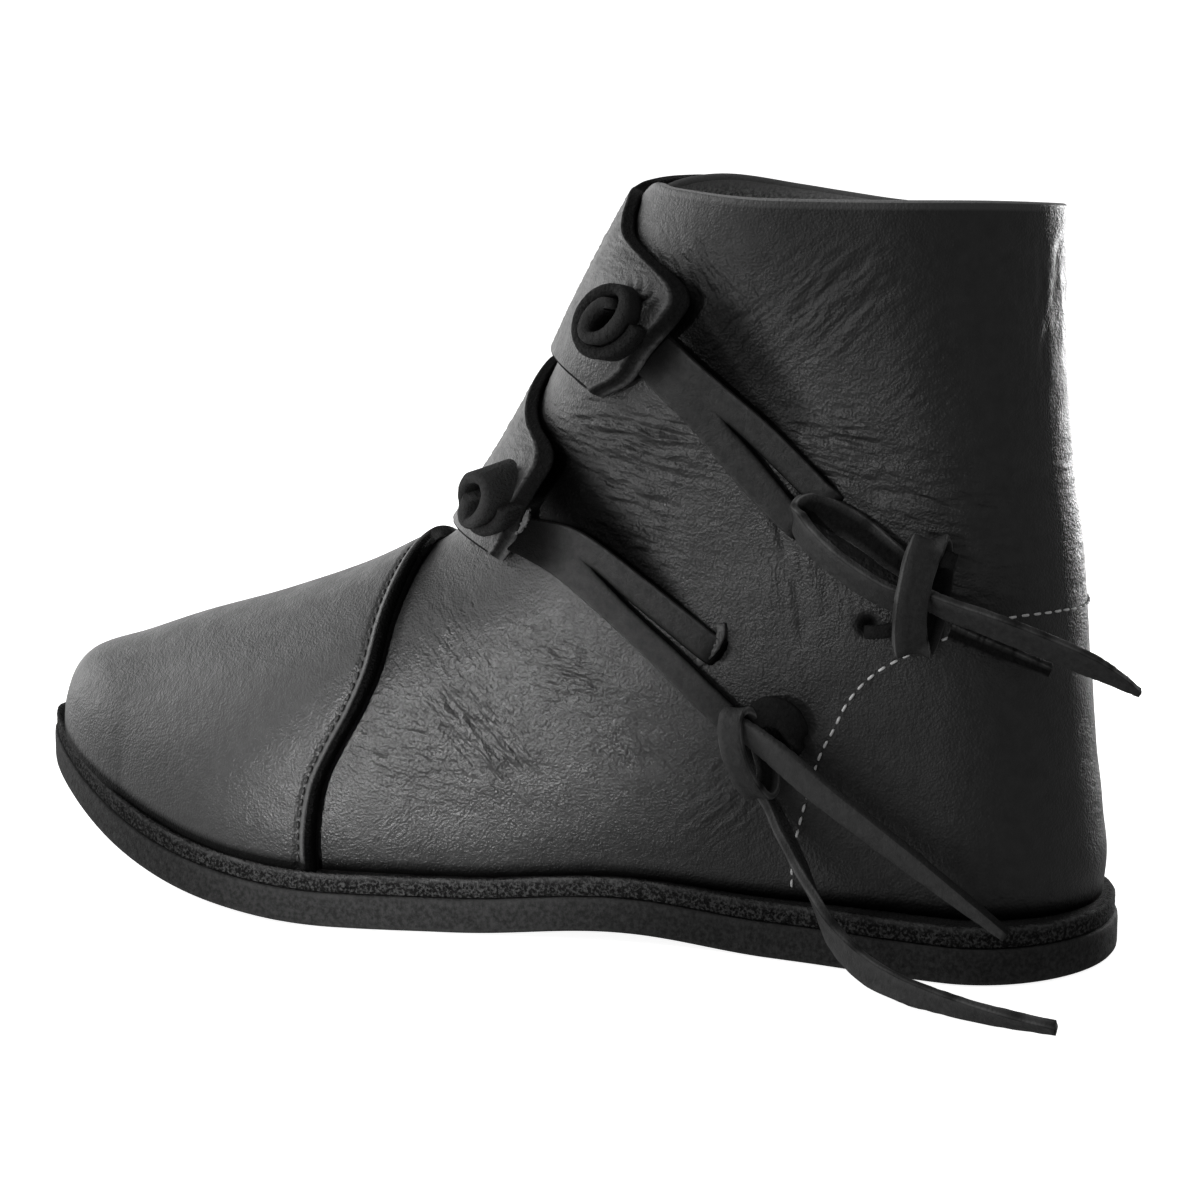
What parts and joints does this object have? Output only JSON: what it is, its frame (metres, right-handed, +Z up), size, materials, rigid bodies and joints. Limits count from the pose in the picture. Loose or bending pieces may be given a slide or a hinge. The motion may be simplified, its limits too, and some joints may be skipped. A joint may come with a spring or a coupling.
{
  "type": "medieval ankle boot",
  "caption": "Left medieval-style ankle boot of black leather with a sewn toe cap, side flaps closed by rolled leather toggles and tied thongs, on a flat sole with toe spring.",
  "frame": {"origin": "middle of the boot's footprint, on the floor under the sole", "axes": "+Z up, the toe points to -Y, the outer side of the left foot faces +X"},
  "size_m": [0.1185, 0.2973, 0.1846],
  "materials": {
    "upper_leather": "satin black grain leather",
    "raw_leather": "matt, fibrous cut leather",
    "toggle_leather": "matt rolled leather",
    "thong_leather": "satin leather strap",
    "sole_rubber": "matt dark rubber"
  },
  "bodies": {
    "root": {"outsole": "sole_rubber", "midsole": "raw_leather", "insole": "raw_leather", "upper": "upper_leather", "toe_cap": "upper_leather", "toggle_upper": "toggle_leather", "toggle_lower": "toggle_leather", "thong_upper": "thong_leather", "thong_lower": "thong_leather", "bow_upper": "thong_leather", "tail_upper_long": "thong_leather", "tail_upper_short": "thong_leather", "tail_lower_back": "thong_leather", "tail_lower_floor": "thong_leather", "knot_upper": "thong_leather", "knot_lower": "thong_leather"}
  },
  "joints": []
}
